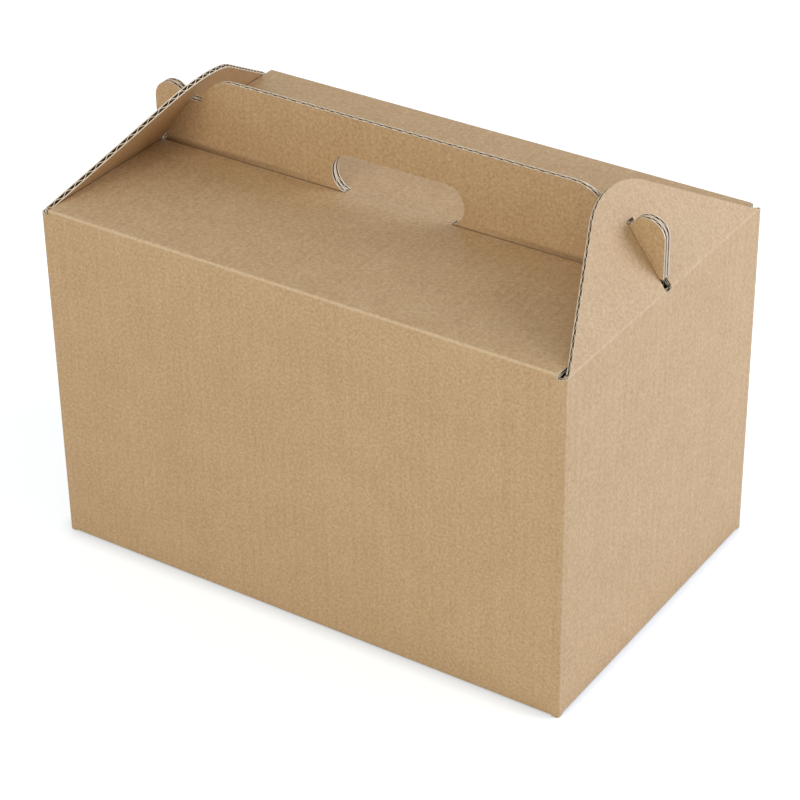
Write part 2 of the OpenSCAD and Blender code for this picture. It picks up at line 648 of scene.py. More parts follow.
class ShaderGraph(NodeGraph):
    """A material's node tree, with its one shader."""

    def __init__(self, name: str) -> None:
        """Start a material.

        Args:
            name: Name of the material.
        """
        self.material = bpy.data.materials.new(name)
        self.material.use_nodes = True
        super().__init__(self.material.node_tree)
        self.shader = self.tree.nodes["Principled BSDF"]

    def noise(self, vector: bpy.types.NodeSocket, layer: "Noise") -> bpy.types.NodeSocket:
        """Add a layer of noise and return its value's socket."""
        return self.add("TexNoise", Vector=vector, Scale=layer.scale, Detail=layer.detail,
                        Roughness=layer.rough).outputs[0]

    def spread(self, noise: bpy.types.NodeSocket, low: float, high: float
               ) -> bpy.types.NodeSocket:
        """Carry a noise's usual values to a range and return the result's socket."""
        return self.stretch(noise, *NOISE_RANGE, low, high)

    def finish(self, **values: object) -> bpy.types.Material:
        """Fill the shader's inputs, as add does, and return the material."""
        for name, value in values.items():
            self.put(self.shader.inputs[name.replace("_", " ")], value)
        return self.material

    def stretch(self, value: bpy.types.NodeSocket, low: float, high: float,
                to_low: float, to_high: float) -> bpy.types.NodeSocket:
        """Carry a number from one range to another.

        Args:
            value: The number.
            low: Start of its range.
            high: End of its range.
            to_low: Start of the new range.
            to_high: End of the new range.

        Returns:
            The new number's socket.
        """
        node = self.add("MapRange", None, Value=value)
        for name, number in (("From Min", low), ("From Max", high),
                             ("To Min", to_low), ("To Max", to_high)):
            node.inputs[name].default_value = number
        return node.outputs[0]

    def blend(self, share: object, first: object, second: object) -> bpy.types.NodeSocket:
        """Mix two colours.

        Args:
            share: How much of the second colour shows.
            first: A colour or a colour's socket.
            second: A colour or a colour's socket.

        Returns:
            The mixed colour's socket.
        """
        node = self.tree.nodes.new("ShaderNodeMix")
        node.data_type = "RGBA"
        self.put(node.inputs["Factor"], share)
        for name, value in (("A", first), ("B", second)):
            sockets = [s for s in node.inputs if s.name == name and s.type == "RGBA"]
            self.put(sockets[0], (*value, 1.0) if isinstance(value, tuple) else value)
        return [s for s in node.outputs if s.type == "RGBA"][0]


@dataclass(frozen=True)
class Noise:
    """One layer of noise, and how far it moves the tone of a finish."""

    scale: float
    detail: float
    rough: float
    tone: float = 0.0


@dataclass(frozen=True)
class KraftFace:
    """Finish of a liner's face: mottled brown fibre, painted light and dark stripes for the flutes
    faintly showing through, a painted highlight on convex folds and painted shade in valley
    creases.
    """

    name: str
    base: Colour
    pale: Colour
    dark: Colour
    pitch: float
    pulp: Noise = Noise(620.0, 5.0, 0.62, 0.42)
    cloud: Noise = Noise(42.0, 3.0, 0.55, 0.07)
    fibre: Noise = Noise(1.0, 4.0, 0.65, 0.2)
    bands: Noise = Noise(1.0, 2.0, 0.5, 0.06)
    fleck: Noise = Noise(1500.0, 2.0, 0.5)
    fibre_scale: Pair = (2600.0, 420.0)
    band_scale: Pair = (420.0, 9.0)
    fleck_range: Pair = (0.7, 0.8)
    fleck_share: float = 0.5
    # flute_shading_tone paints faint light and dark stripes at the flute pitch, the shading of the
    # liner's ripple over the flutes.
    flute_shading_tone: float = 0.02
    # least_wear_and_highlight sets the weakest painted fold highlight; crease_shade_share and
    # crease_shade set the painted shade in valley creases.
    least_wear_and_highlight: float = 0.45
    crease_shade_share: float = 0.9
    crease_shade: float = 0.5
    rough: float = 0.58
    rough_spread: float = 0.06
    fibre_relief: float = 0.5
    grain_depth: float = 0.00012
    flute_depth: float = 0.00008

    def material(self) -> bpy.types.Material:
        """Build the finish.

        Returns:
            The material, which reads object places and the blank's own map.
        """
        graph = ShaderGraph(self.name)
        place = graph.add("TexCoord").outputs["Object"]
        blank = graph.add("UVMap", {"uv_map": "blank"}).outputs[0]
        across = graph.add("SeparateXYZ", Vector=blank).outputs[0]
        turn = graph.math("MULTIPLY", across, 2 * math.pi / (self.pitch * MM))
        flute = graph.math("SINE", turn)
        grain, streak = (graph.add("Mapping", Vector=blank, Scale=(*scale, 1.0)).outputs[0]
                         for scale in (self.fibre_scale, self.band_scale))
        pulp, fibre = graph.noise(place, self.pulp), graph.noise(grain, self.fibre)
        layers = ((self.pulp, pulp), (self.cloud, graph.noise(place, self.cloud)),
                  (self.fibre, fibre), (self.bands, graph.noise(streak, self.bands)))
        # Painted shading: faint light and dark stripes at the flute pitch for the liner's ripple.
        tone = graph.math("MULTIPLY", flute, self.flute_shading_tone)
        for layer, noise in layers:
            tone = graph.math("ADD", tone, graph.spread(noise, -layer.tone, layer.tone))
        lighter = graph.math("MAXIMUM", tone, 0.0)
        darker = graph.math("MAXIMUM", graph.math("MULTIPLY", tone, -1.0), 0.0)
        colour = graph.blend(lighter, self.base, self.pale)
        colour = graph.blend(darker, colour, self.dark)
        fleck = graph.stretch(graph.noise(place, self.fleck), *self.fleck_range,
                              0.0, self.fleck_share)
        colour = graph.blend(fleck, colour, self.dark)
        # Painted highlight along convex folds, partly paler stretched paper: the colour goes
        # towards pale.
        wear = graph.add("Attribute", {"attribute_name": "wear"}).outputs["Fac"]
        wear_and_light_mark = graph.math("MULTIPLY", graph.math("MAXIMUM", wear, 0.0),
                          graph.spread(pulp, self.least_wear_and_highlight, 1.0))
        colour = graph.blend(wear_and_light_mark, colour, self.pale)
        # Painted shade in valley creases: the colour goes towards a deeper brown.
        painted_crease_shade = graph.math("MULTIPLY", graph.math("MINIMUM", wear, 0.0), -self.crease_shade_share)
        colour = graph.blend(painted_crease_shade, colour, tuple(c * self.crease_shade for c in self.dark))
        height = graph.math("MULTIPLY_ADD", fibre, self.fibre_relief, pulp)
        relief = graph.add("Bump", Strength=0.35, Distance=self.grain_depth, Height=height)
        wash = graph.add("Bump", Strength=0.5, Distance=self.flute_depth, Height=flute,
                         Normal=relief.outputs[0])
        rough = graph.spread(pulp, self.rough - self.rough_spread, self.rough + self.rough_spread)
        return graph.finish(Base_Color=colour, Roughness=rough, Specular_IOR_Level=0.5,
                            Normal=wash.outputs[0])


@dataclass(frozen=True)
class CutPaper:
    """Finish of paper that a die has cut: pale, torn and slightly uneven."""

    name: str
    base: Colour
    dark: Colour
    fuzz: Noise = Noise(1400.0, 3.0, 0.6, 0.3)
    patch: Noise = Noise(180.0, 2.0, 0.5, 0.4)
    fuzz_start: float = 0.35
    patch_start: float = 0.4
    rough: Pair = (0.86, 0.98)
    depth: float = 0.0001

    def material(self) -> bpy.types.Material:
        """Build the finish.

        Returns:
            The material, which reads object places.
        """
        graph = ShaderGraph(self.name)
        place = graph.add("TexCoord").outputs["Object"]
        fuzz, patch = graph.noise(place, self.fuzz), graph.noise(place, self.patch)
        full = NOISE_RANGE[1]
        share = graph.math("ADD",
                           graph.stretch(fuzz, self.fuzz_start, full, 0.0, self.fuzz.tone),
                           graph.stretch(patch, self.patch_start, full, 0.0, self.patch.tone))
        bump = graph.add("Bump", Strength=0.4, Distance=self.depth, Height=fuzz)
        return graph.finish(Base_Color=graph.blend(share, self.base, self.dark),
                            Roughness=graph.spread(fuzz, *self.rough), Specular_IOR_Level=0.15,
                            Normal=bump.outputs[0])


@dataclass
class Finishes:
    """The carton's materials."""

    board: Board
    outer: bpy.types.Material = field(init=False)
    inner: bpy.types.Material = field(init=False)
    edge: bpy.types.Material = field(init=False)
    medium: bpy.types.Material = field(init=False)

    def __post_init__(self) -> None:
        """Build the materials."""
        pitch = self.board.pitch
        self.outer = KraftFace("kraft_outer_face", linear(193, 161, 118), linear(224, 198, 160),
                               linear(150, 114, 72), pitch).material()
        self.inner = KraftFace("kraft_inner_face", linear(189, 156, 113), linear(216, 189, 150),
                               linear(146, 110, 69), pitch).material()
        self.edge = CutPaper("cut_edge", linear(243, 232, 210), linear(218, 198, 166)).material()
        # The medium's faces, seen only inside the flute voids, are painted dark brown: painted
        # shade of the voids.
        self.medium = CutPaper("flute_face", linear(112, 86, 56), linear(84, 62, 38)).material()


class FluteTree(NodeGraph):
    """Geometry Nodes that sweep the medium's wave over a panel and trim it to the outline."""

    SOCKETS = {"Outline": "Object", "Span": "Float", "Run": "Float", "Pitch": "Float",
               "Wave": "Float", "Paper": "Float", "Points": "Int", "Finish": "Material",
               "Cut Finish": "Material"}

    def __init__(self, board: Board, steps: int = 16, cut_slope: float = 0.1) -> None:
        """Build the tree.

        Args:
            board: The board whose medium is made.
            steps: Straight pieces in one flute.
            cut_slope: Faces whose normals rise less than this from the board are cut faces.
        """
        super().__init__(bpy.data.node_groups.new("fluted_medium_sheet", "GeometryNodeTree"))
        self.board = board
        self.steps = steps
        self.cut_slope = cut_slope
        self.tree.is_modifier = True
        self._socket("Geometry", "INPUT", "Geometry")
        self.keys = {name: self._socket(name, "INPUT", kind)
                     for name, kind in self.SOCKETS.items()}
        self._socket("Geometry", "OUTPUT", "Geometry")
        self._wire()

    def _socket(self, name: str, way: str, kind: str) -> str:
        """Give the tree a socket and return the socket's identifier."""
        return self.tree.interface.new_socket(name, in_out=way,
                                              socket_type="NodeSocket" + kind).identifier

    def _wire(self) -> None:
        """Wire the wave, its sweep and its trim."""
        given = self.add("NodeGroupInput").outputs
        half = self.math("MULTIPLY", given["Span"], 0.5)
        start = self.add("CombineXYZ", X=self.math("MULTIPLY", half, -1.0)).outputs[0]
        end = self.add("CombineXYZ", X=half).outputs[0]
        line = self.add("GeometryNodeCurvePrimitiveLine", Start=start, End=end).outputs[0]
        points = self.add("GeometryNodeResampleCurve", Curve=line, Count=given["Points"])
        place = self.add("GeometryNodeInputPosition").outputs[0]
        x = self.add("SeparateXYZ", Vector=place).outputs[0]
        turn = self.math("MULTIPLY", self.math("DIVIDE", x, given["Pitch"]), 2 * math.pi)
        height = self.math("MULTIPLY", self.math("SINE", turn),
                           self.math("MULTIPLY", given["Wave"], 0.5))
        offset = self.add("CombineXYZ", Z=height).outputs[0]
        wave = self.add("GeometryNodeSetPosition", Geometry=points.outputs[0], Offset=offset)
        level = self.add("GeometryNodeSetCurveNormal", {"mode": "Z_UP"}, Curve=wave.outputs[0])
        section = self.add("GeometryNodeCurvePrimitiveQuadrilateral", Width=given["Run"],
                           Height=given["Paper"])
        sweep = self.add("GeometryNodeCurveToMesh", Curve=level.outputs[0],
                         Profile_Curve=section.outputs[0], Fill_Caps=True)
        outline = self.add("GeometryNodeObjectInfo", Object=given["Outline"])
        trim = self.add("GeometryNodeMeshBoolean", {"operation": "INTERSECT", "solver": "MANIFOLD"},
                        Mesh_2=sweep.outputs[0])
        self.put(trim.inputs["Mesh 2"], outline.outputs["Geometry"])
        real = self.add("GeometryNodeRealizeInstances", Geometry=trim.outputs[0])
        finish = self.add("GeometryNodeSetMaterial", Geometry=real.outputs[0],
                          Material=given["Finish"])
        normal = self.add("GeometryNodeInputNormal").outputs[0]
        upright = self.math("ABSOLUTE", self.add("SeparateXYZ", Vector=normal).outputs[2])
        cut = self.add("GeometryNodeSetMaterial", Geometry=finish.outputs[0],
                       Selection=self.math("LESS_THAN", upright, self.cut_slope),
                       Material=given["Cut Finish"])
        self.put(self.add("NodeGroupOutput").inputs[0], cut.outputs[0])

    def sheet(self, panel: Panel, finishes: "Finishes") -> bpy.types.Mesh:
        """Make the medium of one panel.

        Args:
            panel: The panel.
            finishes: The carton's materials.

        Returns:
            The medium's mesh, in place.
        """
        lows = [min(p[k] for p in panel.loop) for k in (0, 1)]
        highs = [max(p[k] for p in panel.loop) for k in (0, 1)]
        middle = Vector(((lows[0] + highs[0]) / 2, (lows[1] + highs[1]) / 2, 0))
        span = highs[0] - lows[0] + self.board.pitch
        run = highs[1] - lows[1] + self.board.pitch
        outline = bpy.data.objects.new("outline", self._prism(panel, middle))
        host = bpy.data.objects.new("host", bpy.data.meshes.new("host"))
        for obj in (outline, host):
            bpy.context.scene.collection.objects.link(obj)
        modifier = host.modifiers.new("flutes", "NODES")
        modifier.node_group = self.tree
        values = {"Outline": outline, "Span": span * MM, "Run": run * MM,
                  "Pitch": self.board.pitch * MM, "Wave": self.board.wave * MM,
                  "Paper": self.board.paper * MM, "Finish": finishes.medium,
                  "Cut Finish": finishes.edge,
                  "Points": round(span / self.board.pitch * self.steps) + 1}
        for name, value in values.items():
            modifier[self.keys[name]] = value
        depsgraph = bpy.context.evaluated_depsgraph_get()
        mesh = bpy.data.meshes.new_from_object(host.evaluated_get(depsgraph), depsgraph=depsgraph)
        host.modifiers.remove(modifier)
        for obj in (outline, host):
            data = obj.data
            bpy.data.objects.remove(obj)
            bpy.data.meshes.remove(data)
        mesh.transform(panel.matrix(self.board.thick / 2) @ Matrix.Translation(middle * MM))
        if panel.matrix(0.0).determinant() < 0:
            mesh.flip_normals()
        return mesh

    def _prism(self, panel: Panel, middle: Vector) -> bpy.types.Mesh:
        """Make the solid that a panel's medium is trimmed to.

        Args:
            panel: The panel.
            middle: The middle of the panel's box, which becomes the origin.

        Returns:
            A closed mesh round the origin.
        """
        count = len(panel.loop)
        flat = [Vector((*p, 0)) - middle for p in panel.loop]
        verts = [(p + Vector((0, 0, z * self.board.thick))) * MM for z in (-1, 1) for p in flat]
        faces = []
        for a, b, c in fill(panel.loop):
            up = (flat[b] - flat[a]).cross(flat[c] - flat[a]).z > 0
            loop = (a, b, c) if up else (a, c, b)
            faces += [tuple(count + i for i in loop), tuple(reversed(loop))]
        edges = {(f[i], f[(i + 1) % 3]) for f in faces[1::2] for i in range(3)}
        for a, b in edges:
            if (b, a) not in edges:
                faces.append((b, a, count + a, count + b))
        mesh = bpy.data.meshes.new("outline")
        mesh.from_pydata(verts, [], faces)
        return mesh


def joined(meshes: Iterable[bpy.types.Mesh], materials: Sequence[bpy.types.Material]
           ) -> bpy.types.Mesh:
    """Join meshes into one mesh.

    Args:
        meshes: The meshes, which are used up.
        materials: The new mesh's materials. A mesh without materials has its faces' slots in
            this order.

    Returns:
        The new mesh.
    """
    verts: list[Vector] = []
    faces: list[tuple[int, ...]] = []
    slots: list[int] = []
    for mesh in meshes:
        start = len(verts)
        order = [list(materials).index(m) for m in mesh.materials] or range(len(materials))
        verts += [v.co.copy() for v in mesh.vertices]
        faces += [tuple(start + i for i in p.vertices) for p in mesh.polygons]
        slots += [order[p.material_index] for p in mesh.polygons]
        bpy.data.meshes.remove(mesh)
    whole = bpy.data.meshes.new("whole")
    whole.from_pydata(verts, [], faces)
    for material in materials:
        whole.materials.append(material)
    whole.polygons.foreach_set("material_index", slots)
    return whole


def piece(name: str, mesh: bpy.types.Mesh, materials: Sequence[bpy.types.Material] = ()
          ) -> bpy.types.Object:
    """Put a mesh in the scene.

    Args:
        name: Name of the piece.
        mesh: Its mesh, in place.
        materials: Materials to add, in the order of the mesh's slots.

    Returns:
        The piece's object, at the origin.
    """
    for material in materials:
        mesh.materials.append(material)
    mesh.name = name
    obj = bpy.data.objects.new(name, mesh)
    bpy.context.scene.collection.objects.link(obj)
    return obj


def liners(prefix: str, sheet: Sheet, finishes: Finishes) -> list[bpy.types.Object]:
    """Make the two liners of a sheet.

    Args:
        prefix: Start of the pieces' names.
        sheet: The sheet.
        finishes: The carton's materials.

    Returns:
        The outer liner and the inner liner.
    """
    return [piece(prefix + paper.value, sheet.mesh(paper.depths(finishes.board)),
                  (face, finishes.edge))
            for paper, face in ((Paper.OUTER, finishes.outer), (Paper.INNER, finishes.inner))]


@dataclass
class HandleBoard:
    """Outline of one board of the handle, with its ears and hand hole."""

    sizes: CartonSizes
    shoulder_in: float = 57.0
    shoulder_r: float = 24.0
    hole_width: float = 85.5
    hole_height: float = 23.4
    hole_sink: float = 0.6
    ear_r: float = 10.5
    ear_edge_in: float = 2.2
    ear_foot: float = 4.5
    slot: float = 41.8

    @property
    def hole_r(self) -> float:
        """Radius of the hand hole's round ends."""
        return (self.hole_height + self.hole_sink) / 2

    def hole_half(self, height: float) -> float:
        """Half the hand hole's width near its foot.

        Args:
            height: Height above the roof.

        Returns:
            The half width.
        """
        below = self.hole_height - self.hole_r - height
        return self.hole_width / 2 - self.hole_r + math.sqrt(self.hole_r**2 - below**2)

    def loop(self, drop: float) -> tuple[Pair, ...]:
        """Loop round the board across X and Z, with the hand hole open at the foot.

        Args:
            drop: How far the board's upper edge stays below the higher board's.

        Returns:
            The loop's points, anticlockwise.
        """
        s, radius = self.sizes, self.hole_r
        middle = (self.hole_width / 2 - radius, s.height + self.hole_height - radius)
        start = -math.degrees(math.asin((middle[1] - s.handle_foot) / radius))
        right = around(middle, radius, 90, start, 3)
        hole = [(-x, z) for x, z in reversed(right)] + right
        return tuple(self._right_side(drop) + [(-x, z) for x, z in reversed(self._right_side(drop))]
                     + hole)

    def _right_side(self, drop: float) -> list[Pair]:
        """Outer edge of the board's right half, from its foot to the end of its flat top.

        Args:
            drop: How far the board's upper edge stays below the higher board's.

        Returns:
            The edge's points.
        """
        s, lean = self.sizes, math.radians(self.sizes.lean)
        ear_x = s.half_l - self.ear_edge_in - self.ear_r
        reach = self.slot - s.play - self.ear_r
        ear_z = s.hinge_z + math.sqrt(reach**2 - (s.half_l - ear_x) ** 2)
        notch = s.hinge_z + self.slot * math.cos(lean) - s.board.thick * math.sin(lean) - s.play
        shoulder = (s.half_l - self.shoulder_in,
                    s.height + s.handle_height - drop - self.shoulder_r)
        ear_foot = s.height + self.ear_foot
        ear_end = 180 - math.degrees(math.asin((notch - ear_z) / self.ear_r))
        rise = math.degrees(math.asin((notch - shoulder[1]) / self.shoulder_r))
        edge = [(s.handle_half, s.handle_foot), (s.handle_half, ear_foot),
                (ear_x + self.ear_r, ear_foot)]
        edge += around((ear_x, ear_z), self.ear_r, 0, ear_end, 4)
        return edge + around(shoulder, self.shoulder_r, rise, 90, 2.5)


@dataclass
class CartonBody:
    """Walls, corners, base, roof halves and handle boards: all that doesn't move."""

    sizes: CartonSizes
    finishes: Finishes
    flutes: FluteTree
    lip_relief: float = 0.2
    sheet: Sheet = field(default_factory=Sheet)
    panels: list[Panel] = field(default_factory=list)

    def build(self) -> list[bpy.types.Object]:
        """Build the body's pieces.

        Returns:
            The two liners and the medium.
        """
        handle = HandleBoard(self.sizes)
        for half in Half:
            self._half(half, handle)
        for end in End:
            self._end(end)
        self._corners()
        self._glue_flap()
        board = self.sizes.board
        made = liners("carton_", self.sheet, self.finishes)
        crushed = (board.thick / 2 - board.paper, board.thick / 2 + board.paper)
        waves = [self.flutes.sheet(panel, self.finishes) for panel in self.panels]
        waves.append(self.sheet.mesh(crushed, folds_only=True))
        papers = (self.finishes.medium, self.finishes.edge)
        made.append(piece("carton_medium", joined(waves, papers)))
        for obj in made:
            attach(obj, "carton")
        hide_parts("carton")
        return made

    def _half(self, half: Half, handle: HandleBoard) -> None:
        """Add the board of one long wall, from its base flap to its handle board.

        Args:
            half: Front or rear.
            handle: The handle's outline.
        """
        s, board = self.sizes, self.sizes.board
        path = SectionPath(board, (-s.base_gap / 2, 0.0), 180.0)
        path.line(s.fold_y - s.base_gap / 2)
        first_fold = len(path.stations) - 1
        path.fold()
        wall = len(path.stations) - 1
        path.line(s.wall_top - board.bend_out)
        path.fold()
        roof = len(path.stations) - 1
        path.line(s.fold_y - s.handle_gap / 2 - board.bend_out)
        path.fold(right=False)
        halves = [s.base_half if i < first_fold else s.base_fold_half if i < wall
                  else s.roof_half for i in range(roof)]

        spot = partial(self._spot, half)
        for i, (a, b) in enumerate(zip(path.stations[:roof], path.stations[1:])):
            if i == wall:
                self._long_wall(half, a, b)
                continue
            low, high = self._ends(halves, i, i - 1), self._ends(halves, i, i + 1)
            corners = [spot(x, a) for x in low] + [spot(x, b) for x in reversed(high)]
            self.sheet.face(corners, fold=b.ways is not None)
        self._roof(spot, handle, path.stations[roof:])
        self._handle(half, handle, path.stations[-1])
        self._half_panels(half, handle)

    def _roof(self, spot: Callable[[float, Station], int], handle: HandleBoard,
              stations: Sequence[Station]) -> None:
        """Add one roof half, its lip in the hand hole, and the fold into the handle.

        Args:
            spot: Gives the sheet's point at a distance along X on a station.
            handle: The handle's outline.
            stations: The roof's first station, then those of the fold.
        """
        s = self.sizes
        edge, foot = stations[:2]
        lip = handle.hole_half(0.0) - self.lip_relief
        breaks = (s.roof_half, s.handle_half, handle.hole_half(0.0), lip)
        high = [x * side for side, row in ((-1, breaks), (1, breaks[::-1])) for x in row]
        corners = [spot(x, edge) for x in (-s.roof_half, s.roof_half)]
        self.sheet.face(corners + [spot(x, foot) for x in reversed(high)])
        reach = s.board.bend_out
        run = foot.run + reach
        lip_end = Station((foot.place[0] + reach, foot.place[1]), foot.inward, run)
        self.sheet.face([spot(-lip, foot), spot(lip, foot),
                         spot(lip, lip_end), spot(-lip, lip_end)])
        for a, b in zip(stations[1:], stations[2:]):
            near = [handle.hole_half(station.place[1] - s.height) for station in (a, b)]
            for side in (-1, 1):
                self.sheet.face([spot(near[0] * side, a), spot(s.handle_half * side, a),
                                 spot(s.handle_half * side, b), spot(near[1] * side, b)], fold=True)

    @staticmethod
    def _ends(halves: Sequence[float], own: int, other: int) -> list[float]:
        """Places along X that a face's edge needs, with the ends of a shorter neighbour.

        Args:
            halves: Half length of each face.
            own: Number of the face.
            other: Number of the neighbour, which may not exist.

        Returns:
            The places in order.
        """
        near = halves[other] if 0 <= other < len(halves) else halves[own]
        return sorted({side * min(halves[own], h) for h in (halves[own], near) for side in (-1, 1)})

    def _blank(self, side: Half | End, across: float, run: float) -> Pair:
        """Place on the flat blank, in which every flute runs the same way.

        Args:
            side: The wall that the point belongs to.
            across: The point's X on a long wall, or its Y on an end wall.
            run: Length along the flutes.

        Returns:
            The place across and along the flutes.
        """
        s = self.sizes
        corner = s.board.bend_run
        if side is Half.FRONT:
            return across, run
        if side is Half.REAR:
            return 2 * (s.fold_x + corner + s.fold_y) - across, run
        return side.value * (s.fold_x + corner + s.fold_y + across), run

    def _spot(self, side: Half | End, along: float, station: Station) -> int:
        """Add a point of a section that runs along a wall.

        Args:
            side: The wall that the section belongs to.
            along: The point's X on a long wall, or its Y on an end wall.
            station: The point's station on the section.

        Returns:
            The point's number in the sheet.
        """
        if isinstance(side, Half):
            start, across = Vector((along, 0, 0)), Vector((0, -side.value, 0))
        else:
            start, across = Vector((0, along, 0)), Vector((-side.value, 0, 0))

        def turned(pair: Pair) -> Vector:
            """Direction in the row frame."""
            return across * pair[0] + Vector((0, 0, pair[1]))

        # Only folds above the base get the painted highlight and the painted crease shade.
        wear_and_light_mark = station.wear if station.place[1] > self.sizes.board.bend_out else 0.0
        ways = station.ways and tuple(turned(way) for way in station.ways)
        return self.sheet.point(start + turned(station.place), turned(station.inward),
                                self._blank(side, along, station.run), wear_and_light_mark, ways)

    def _flat(self, side: Half | End, foot: Station, points: Iterable[Pair]) -> list[int]:
        """Add points of an upright flat that goes on from a station.

        Args:
            side: The wall that the flat belongs to.
            foot: The station.
            points: Places along the wall and above the table.

        Returns:
            The points' numbers in the sheet.
        """
        x, z = foot.place
        return [self._spot(side, along, Station((x, high), foot.inward, foot.run + high - z))
                for along, high in points]

    def _long_wall(self, half: Half, low: Station, high: Station) -> None:
        """Add the front or rear wall, with its feet at the corners.

        Args:
            half: Front or rear.
            low: The wall's lower station.
            high: The wall's upper station.
        """
        s = self.sizes
        foot, step = s.base_fold_half, s.roof_half + s.play
        right = [(foot, low.place[1]), (foot, 0.0), (s.fold_x, 0.0),
                 (s.fold_x, s.corner_top(s.fold_x)), (step, high.place[1]),
                 (s.roof_half, high.place[1])]
        left = [(-x, z) for x, z in reversed(right)]
        if half is Half.REAR:
            end = -(s.half_l - s.seam_in)
            left = [(end, z) if x == -s.fold_x else (x, z) for x, z in left]
            left = [(x, s.corner_top(end)) if x == end and z > 0 else (x, z) for x, z in left]
        self.sheet.face(self._flat(half, low, right + left))

    def _handle(self, half: Half, handle: HandleBoard, foot: Station) -> None:
        """Add one board of the handle.

        Args:
            half: Front or rear.
            handle: The handle's outline.
            foot: The station at the board's foot.
        """
        drop = self.sizes.rear_drop if half is Half.REAR else 0.0
        loop = handle.loop(drop)
        ids = self._flat(half, foot, loop)
        for triangle in fill(loop):
            self.sheet.face([ids[i] for i in triangle])

    def _half_panels(self, half: Half, handle: HandleBoard) -> None:
        """List the flat panels of one half, which hold its medium.

        Args:
            half: Front or rear.
            handle: The handle's outline.
        """
        s, side = self.sizes, half.value
        across, up = Vector((1, 0, 0)), Vector((0, 0, 1))
        inward, down = Vector((0, -side, 0)), Vector((0, 0, -1))
        start = -(s.half_l - s.seam_in) if half is Half.REAR else -s.fold_x
        handle_y = s.handle_gap / 2 + s.board.thick
        flat = handle_y + s.board.bend_in
        roof = rectangle((-s.roof_half, flat), (s.roof_half, s.fold_y))
        base = rectangle((-s.base_half, s.base_gap / 2), (s.base_half, s.fold_y))
        wall = rectangle((start, s.board.bend_out), (s.fold_x, s.wall_top))
        out = Vector((0, side, 0))
        self.panels += [
            Panel(Vector((0, s.half_w * side, 0)), across, up, inward, wall),
            Panel(Vector((0, 0, s.height)), across, out, down, roof),
            Panel(Vector(), across, out, up, base),
            Panel(Vector((0, handle_y * side, 0)), across, up, inward,
                  handle.loop(s.rear_drop if half is Half.REAR else 0.0)),
        ]

    def _end(self, end: End) -> None:
        """Add an end wall and its base flap, which rises onto the long ones.

        Args:
            end: Left or right.
        """
        s, board, side = self.sizes, self.sizes.board, end.value
        ramp = math.degrees(math.atan2(board.thick, s.base_ramp))
        free = s.fold_x - s.end_base
        path = SectionPath(board, (-free, board.thick), 180.0)
        path.line(s.base_half - free)
        path.bend(-ramp)
        path.line(math.hypot(board.thick, s.base_ramp))
        path.bend(ramp)
        path.fold()
        rear = s.seam_y if end is End.LEFT else s.fold_y
        low_y, high_y = -(s.fold_y - s.base_side_in), rear - s.base_side_in

        spot = partial(self._spot, end)
        for a, b in zip(path.stations, path.stations[1:]):
            corners = [spot(low_y, a), spot(high_y, a), spot(high_y, b), spot(low_y, b)]
            self.sheet.face(corners, fold=b is not path.stations[1])
        last = path.stations[-1]
        loop = [(low_y, last.place[1]), (low_y, 0.0), (-s.fold_y, 0.0), (-s.fold_y, s.end_top),
                (rear, s.end_top), (rear, 0.0), (high_y, 0.0), (high_y, last.place[1])]
        across, up = Vector((0, 1, 0)), Vector((0, 0, 1))
        self.sheet.face(self._flat(end, last, loop))
        wall = rectangle((-s.fold_y, board.bend_out), (rear, s.end_top))
        flap = rectangle((low_y, free), (high_y, s.base_half))
        self.panels += [
            Panel(Vector((s.half_l * side, 0, 0)), across, up, Vector((-side, 0, 0)), wall),
            Panel(Vector((0, 0, board.thick)), across, Vector((side, 0, 0)), up, flap),
        ]

    def _column(self, spots: Sequence[Station]) -> None:
        """Add a fold that runs up a corner.

        Args:
            spots: Stations of the fold's plan, of which the last one is on an end wall.
        """
        s = self.sizes

        def rung(spot: Station, extra: Sequence[float]) -> list[int]:
            """Add the points of the sheet up one upright edge.

            Args:
                spot: The edge's place in the plan.
                extra: Heights between foot and top at which the edge has a point.

            Returns:
                The points' numbers, from the table up.
            """
            x, y = spot.place
            ways = tuple(Vector((*way, 0)) for way in spot.ways)
            return [self.sheet.point(Vector((x, y, z)), Vector((*spot.inward, 0)), (spot.run, z),
                                     0.0, ways)
                    for z in (0.0, *extra, s.corner_top(x))]

        for a, b in zip(spots, spots[1:]):
            extra = [s.end_top] if b is spots[-1] else []
            self.sheet.face(rung(a, []) + rung(b, extra)[::-1], fold=True)

    def _corners(self) -> None:
        """Add the three corners that are plain folds of the tube."""
        s, board = self.sizes, self.sizes.board
        for x_side, y_side in ((1, -1), (1, 1), (-1, -1)):
            start = self._blank(Half(y_side), s.fold_x * x_side, 0)[0]
            centre = (s.fold_x * x_side, s.fold_y * y_side)
            axes = ((0, y_side), (x_side, 0))
            self._column([Station.folded(spot, board, centre, axes,
                                         start - spot.run * x_side * y_side)
                          for spot in board.fold()])

    def _glue_flap(self) -> None:
        """Add the rear left corner, whose fold carries the glue flap behind the rear wall."""
        s, board = self.sizes, self.sizes.board
        start = self._blank(End.LEFT, s.seam_y, 0)[0] - board.bend_run
        self._column([Station.folded(spot, board, (-s.fold_x, s.seam_y), ((0, 1), (-1, 0)),
                                     start + spot.run) for spot in board.fold()])
        y = s.seam_y + board.bend_out
        step = s.roof_half + s.play
        loop = [(-s.fold_x, 0.0), (-s.base_fold_half, 0.0), (-s.base_fold_half, board.bend_out),
                (-s.fold_x + s.glue_flap, board.bend_out), (-s.fold_x + s.glue_flap, s.wall_top),
                (-step, s.wall_top), (-s.fold_x, s.corner_top(s.fold_x))]
        ids = [self.sheet.point(Vector((x, y, z)), Vector((0, -1, 0)), (start - s.fold_x - x, z))
               for x, z in loop]
        self.sheet.face(ids)
        flap = rectangle((-s.fold_x, board.bend_out), (-s.fold_x + s.glue_flap, s.wall_top))
        self.panels.append(Panel(Vector((0, y, 0)), Vector((1, 0, 0)), Vector((0, 0, 1)),
                                 Vector((0, -1, 0)), flap))


